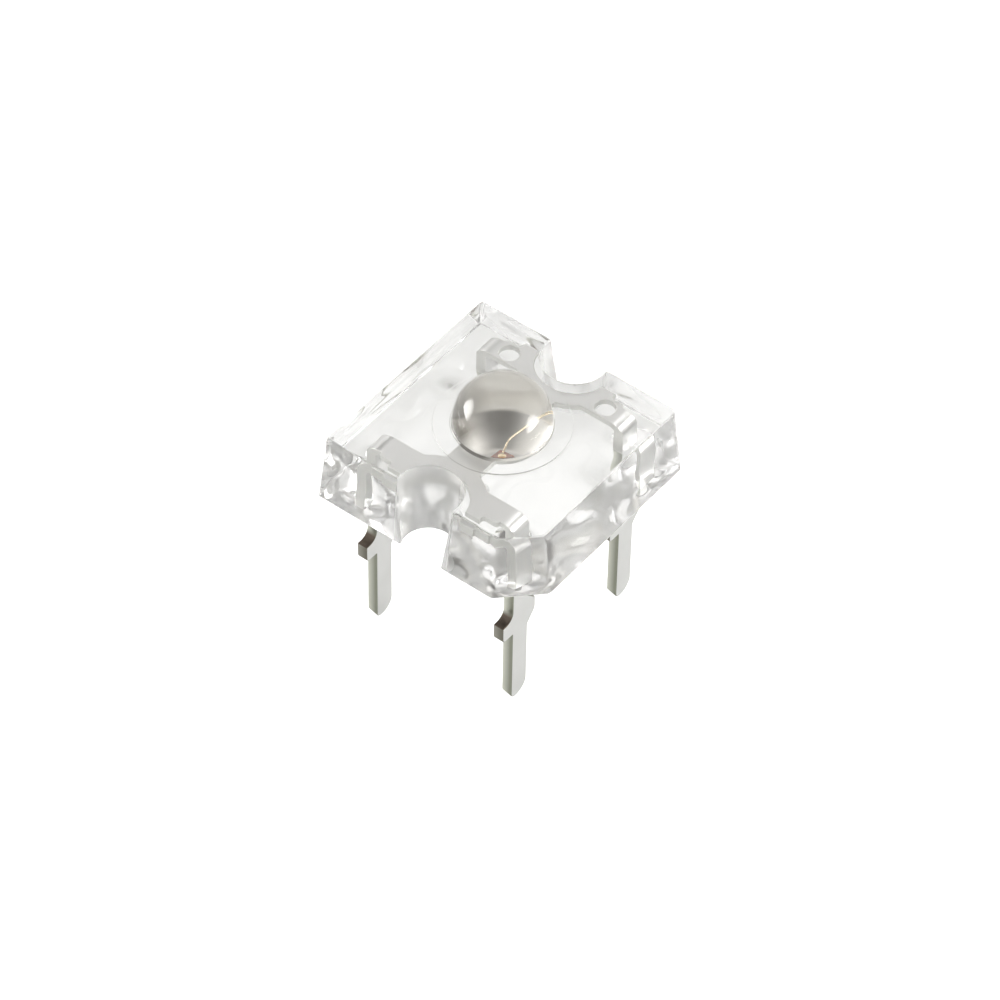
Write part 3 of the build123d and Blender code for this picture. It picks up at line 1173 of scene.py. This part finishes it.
def bond_frame():
    """Frame on the +Y side, with the tongue and the lock holes."""
    corner = (TONGUE_HALF - TONGUE_ROUND, TONGUE_TIP + TONGUE_ROUND)
    middle = arc(corner, TONGUE_ROUND, -90, 0, 10)
    middle += [(TONGUE_HALF, NOTCH_Y - across(RING_OUTER, TONGUE_HALF))]
    outlines = [blank_outline(1, middle)]
    hole_x, hole_y = LOCK_HOLE_MIDDLE
    for x in (-hole_x, hole_x):
        outlines.append(arc((x, hole_y), LOCK_HOLE_RADIUS, 360, 0, HOLE_STEP)[:-1])
    skin, _ = stamped_blank(outlines)
    return skin.make("bond_strip", METALS, "plated_lead_frame", ["bond_frame"], bent)


casting()
reflector_frame()
bond_frame()


# Chip and wire


def wire():
    """Gold wire from its ball on the chip to its stitch on the tongue."""
    skin = Skin()
    turns = circle_turns(WIRE_POINTS)
    ball_middle = BALL_Z + BALL_HEIGHT / 2
    before = None
    for i in range(BALL_ROWS + 1):
        a = math.radians(2 * BALL_POLE * i / BALL_ROWS - BALL_POLE)
        radius = BALL_RADIUS * math.cos(a)
        z = ball_middle + BALL_HEIGHT / 2 * math.sin(a)
        ring = skin.ring([(radius * math.cos(t), radius * math.sin(t), z) for t in turns])
        out = math.cos(a) * BALL_HEIGHT / 2
        rise = math.sin(a) * BALL_RADIUS
        normals = [(out * math.cos(t), out * math.sin(t), rise) for t in turns]
        if before:
            skin.band(before[0], ring, before[1], normals)
        before = (ring, normals)
    width, length, thickness = STITCH
    stitch_z = PLATE_TOP_Z + thickness / 2
    path = rounded_path(
        [
            (0, ball_middle, 0),
            (WIRE_RISE, LOOP_Z, WIRE_RISE_ROUND),
            (LANDING_Y - WIRE_DROP, LOOP_Z, WIRE_DROP_ROUND),
            (LANDING_Y, stitch_z, 0),
            (LANDING_Y + length / 2, stitch_z, 0),
        ]
    )
    before = None
    for i, (y, z) in enumerate(path):
        ahead = path[min(i + 1, len(path) - 1)]
        behind = path[max(i - 1, 0)]
        along = (Vector(ahead) - Vector(behind)).normalized()
        flat = min(max((y - LANDING_Y + length / 2) / length * 2, 0), 1)
        wide = blend((WIRE_RADIUS, width / 2), flat)
        high = blend((WIRE_RADIUS, thickness / 2), flat)
        points = []
        normals = []
        for t in turns:
            lift = high * math.sin(t)
            points.append((wide * math.cos(t), y - along.y * lift, z + along.x * lift))
            up_share = wide * math.sin(t)
            normals.append((high * math.cos(t), -along.y * up_share, along.x * up_share))
        ring = skin.ring(points)
        if before:
            skin.band(ring, before[0], normals, before[1])
        before = (ring, normals)
    return skin.make("bond_wire_loop", [GOLD], "gold", ["bond_wire"])


wire()

for node, finish in (
    ("chip_glue", GLUE),
    ("led_chip", CRYSTAL),
    ("chip_contact", GOLD),
):
    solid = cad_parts[node]
    solid.data.materials.clear()
    solid.data.materials.append(finish)


# Studio

half_floor = FLOOR_SIDE / 2 * MM
floor_mesh = bpy.data.meshes.new("floor")
signs = ((-1, -1), (1, -1), (1, 1), (-1, 1))
floor_corners = [(x * half_floor, y * half_floor, 0) for x, y in signs]
floor_mesh.from_pydata(floor_corners, [], [(0, 1, 2, 3)])
floor = bpy.data.objects.new("floor", floor_mesh)
bpy.context.collection.objects.link(floor)


def white_table():
    """Matt white table top, which also glows where it is seen straight or through."""
    made, tree, surface = material("white table", Roughness=0.9)
    place = add(tree, "TexCoord").outputs["Object"]
    # Its grain is 0.5 mm wide.
    grain = add(tree, "TexNoise", {"Vector": place, "Scale": 1 / (TABLE_GRAIN * MM)})
    tone = add(
        tree,
        "Mix",
        {"Factor": grain, "A": colour("BFC0BF"), "B": colour("C4C5C4")},
        data_type="RGBA",
    )
    path = add(tree, "LightPath")
    # The casting gathers light on the table under it. A ray that has passed
    # through resin counts as a mirrored one too.
    off_axis = add(tree, "VectorMath", {0: place}, operation="LENGTH")
    pool = add(
        tree,
        "MapRange",
        {
            "Value": off_axis,
            "From Min": GATHERED_REACH[0] * MM,
            "From Max": GATHERED_REACH[1] * MM,
            "To Min": GATHERED_GLOW - MIRRORED_GLOW,
            "To Max": THROUGH_GLOW - MIRRORED_GLOW,
        },
        interpolation_type="SMOOTHSTEP",
    )
    through = add(
        tree, "Math", {0: path.outputs["Is Transmission Ray"], 1: pool}, operation="MULTIPLY"
    )
    mirrored = add(
        tree,
        "Math",
        {0: path.outputs["Is Glossy Ray"], 1: MIRRORED_GLOW, 2: through},
        operation="MULTIPLY_ADD",
    )
    strength = add(
        tree,
        "Math",
        {0: path.outputs["Is Camera Ray"], 1: FLOOR_GLOW, 2: mirrored},
        operation="MULTIPLY_ADD",
    )
    connect(
        surface,
        {"Base Color": tone, "Emission Color": (1, 1, 1, 1), "Emission Strength": strength},
    )
    return made


floor_mesh.materials.append(white_table())

# Light runs many times to and fro inside the casting before it leaves.
cycles = bpy.context.scene.cycles
cycles.max_bounces = 48
cycles.transmission_bounces = 48
cycles.glossy_bounces = 16


def studio_room():
    """Light walls, a darker ceiling, two lamps and the dark camera stand in front."""
    world = bpy.data.worlds.new("studio room")
    world.use_nodes = True
    bpy.context.scene.world = world
    tree = world.node_tree
    place = add(tree, "TexCoord")
    heading = add(tree, "VectorMath", {0: place.outputs["Generated"]}, operation="NORMALIZE")
    height = add(tree, "SeparateXYZ", {0: heading})
    walls = add(
        tree,
        "MapRange",
        {
            "Value": height.outputs["Z"],
            "From Max": CEILING_FROM,
            "To Min": ROOM_WALLS,
            "To Max": ROOM_CEILING,
        },
        interpolation_type="SMOOTHSTEP",
    )
    stand = patch(tree, heading, back, STAND_SPREAD, 1, STAND_SHADE)
    room = add(tree, "Math", {0: walls, 1: stand}, operation="MULTIPLY")
    left = patch(tree, heading, LEFT_LAMP, LEFT_SPREAD, 0, LEFT_LIGHT)
    right = patch(tree, heading, RIGHT_LAMP, RIGHT_SPREAD, 0, RIGHT_LIGHT)
    glow = patch(tree, heading, RIGHT_GLOW, GLOW_SPREAD, 0, GLOW_LIGHT)
    pair = add(tree, "Math", {0: left, 1: right}, operation="ADD")
    lamps = add(tree, "Math", {0: pair, 1: glow}, operation="ADD")
    total = add(tree, "Math", {0: room, 1: lamps}, operation="ADD")
    connect(tree.nodes["Background"], {"Color": colour("FFFEFC"), "Strength": total})


def patch(tree, heading, direction, spread, around, core):
    """A round soft patch of the room: one value around it, another in its core."""
    towards = add(
        tree,
        "VectorMath",
        {0: heading, 1: tuple(Vector(direction).normalized())},
        operation="DOT_PRODUCT",
    )
    return add(
        tree,
        "MapRange",
        {
            "Value": towards,
            "From Min": math.cos(math.radians(spread[0])),
            "From Max": math.cos(math.radians(spread[1])),
            "To Min": around,
            "To Max": core,
        },
        interpolation_type="SMOOTHSTEP",
    )


studio_room()
